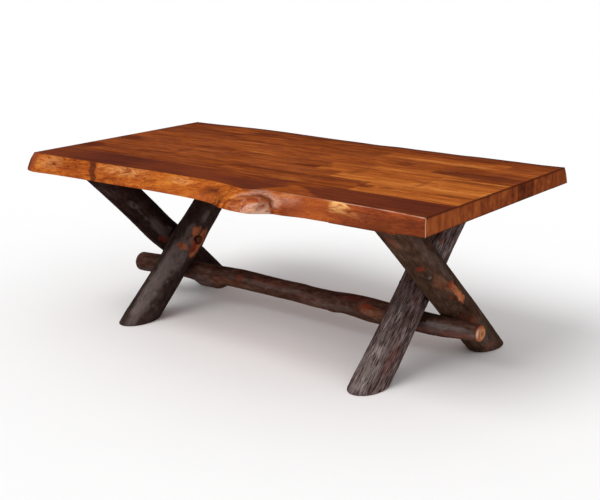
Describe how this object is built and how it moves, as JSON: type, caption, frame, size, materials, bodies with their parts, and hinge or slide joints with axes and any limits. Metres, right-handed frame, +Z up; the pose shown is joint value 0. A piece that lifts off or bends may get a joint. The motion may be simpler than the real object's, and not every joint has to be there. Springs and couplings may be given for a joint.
{
  "type": "coffee table",
  "caption": "Rustic low table: a thick glued stave top with live edges, on two crossed pairs of bark-on hickory logs joined by a crooked log stretcher.",
  "frame": {"origin": "on the floor, under the middle of the top", "axes": "+X along the top towards its right end, +Y from the front edge with the burl to the back, +Z up"},
  "size_m": [1.22, 0.6837, 0.447],
  "materials": {
    "stave_wood": "satin lacquer",
    "live_edge_wood": "satin lacquer",
    "bark_log": "sealed bark",
    "bark_stretcher": "sealed bark",
    "cleat_wood": "satin lacquer",
    "screw_steel": "dull zinc"
  },
  "bodies": {
    "root": {"back_live_edge_board": "live_edge_wood", "cleat_left": "cleat_wood", "cleat_right": "cleat_wood", "cleat_screws": "screw_steel", "crossing_lag_screws": "screw_steel", "crossing_washers": "screw_steel", "front_live_edge_board": "live_edge_wood", "leg_lag_screws": "screw_steel", "leg_left_inner": "bark_log", "leg_left_outer": "bark_log", "leg_right_inner": "bark_log", "leg_right_outer": "bark_log", "stretcher": "bark_stretcher", "stretcher_screws": "screw_steel", "top_stave_1a": "stave_wood", "top_stave_1b": "stave_wood", "top_stave_1c": "stave_wood", "top_stave_2a": "stave_wood", "top_stave_2b": "stave_wood", "top_stave_2c": "stave_wood", "top_stave_3a": "stave_wood", "top_stave_3b": "stave_wood", "top_stave_3c": "stave_wood", "top_stave_3d": "stave_wood", "top_stave_4a": "stave_wood", "top_stave_4b": "stave_wood", "top_stave_4c": "stave_wood", "top_stave_4d": "stave_wood", "top_stave_5a": "stave_wood", "top_stave_5b": "stave_wood", "top_stave_5c": "stave_wood", "top_stave_5d": "stave_wood", "top_stave_6a": "stave_wood", "top_stave_6b": "stave_wood", "top_stave_6c": "stave_wood", "top_stave_7a": "stave_wood", "top_stave_7b": "stave_wood", "top_stave_7c": "stave_wood", "top_stave_7d": "stave_wood"}
  },
  "joints": []
}
